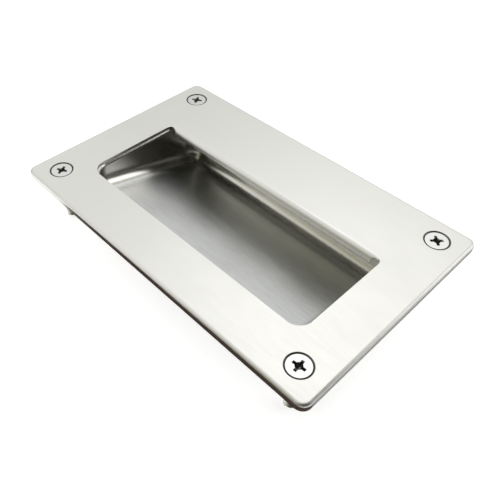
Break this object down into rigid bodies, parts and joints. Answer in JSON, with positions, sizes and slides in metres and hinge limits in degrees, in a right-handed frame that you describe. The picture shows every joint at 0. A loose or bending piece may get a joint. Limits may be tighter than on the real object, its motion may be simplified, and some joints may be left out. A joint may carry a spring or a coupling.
{
  "type": "flush pull",
  "caption": "Rectangular stainless flush pull: pressed face plate with a folded grip lip over a sloping recess cup, held by countersunk screws.",
  "frame": {"origin": "middle of the four screws, on the plane of the rim's edge, which is the surface of the door", "axes": "+X along the plate's length, +Y across it towards the grip lip and the deep side of the recess, +Z out of the door through the face"},
  "size_m": [0.125, 0.08, 0.0201],
  "materials": {
    "satin_sheet": "satin brushed stainless steel",
    "drawn_sheet": "drawn stainless steel, lightly brushed along its length",
    "screw_steel": "plain stainless steel"
  },
  "bodies": {
    "root": {"face_plate": "satin_sheet", "recess_cup": "drawn_sheet", "screw_1": "screw_steel", "screw_2": "screw_steel", "screw_3": "screw_steel", "screw_4": "screw_steel"}
  },
  "joints": []
}
